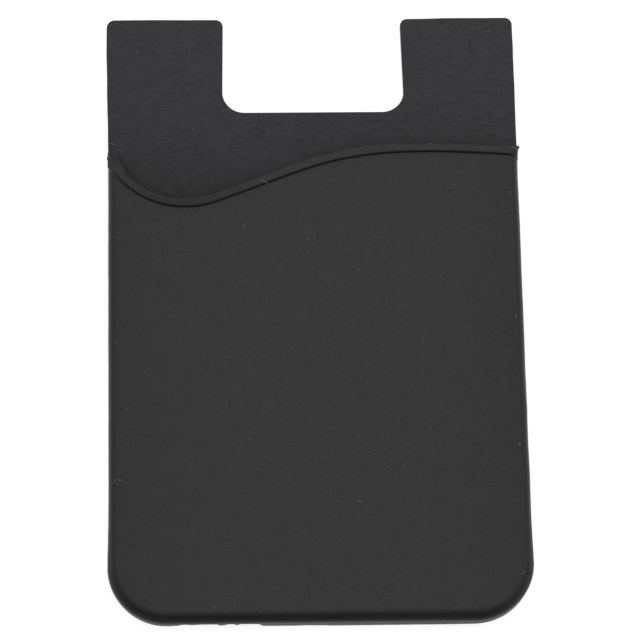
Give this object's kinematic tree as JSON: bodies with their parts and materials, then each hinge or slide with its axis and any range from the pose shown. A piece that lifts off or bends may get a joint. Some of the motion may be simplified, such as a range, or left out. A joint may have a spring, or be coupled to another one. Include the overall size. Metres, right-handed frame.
{
  "type": "stick on phone card holder",
  "caption": "Thin moulded silicone sleeve for the back of a phone: a back plate with a square thumb notch, a card pocket with a beaded curved mouth, and an adhesive back.",
  "frame": {"origin": "middle of the footprint, on the back face that sticks to the phone", "axes": "+Z out of the pocket's front panel, +Y along the length towards the thumb notch and the pocket's mouth, +X to the right seen from the front"},
  "size_m": [0.0574, 0.088, 0.0033],
  "materials": {
    "silicone": "satin black moulded silicone",
    "adhesive": "tacky translucent acrylic adhesive",
    "liner": "smooth coated paper"
  },
  "bodies": {
    "root": {"card_sleeve": "silicone", "adhesive_sheet": "adhesive", "release_liner": "liner"}
  },
  "joints": []
}
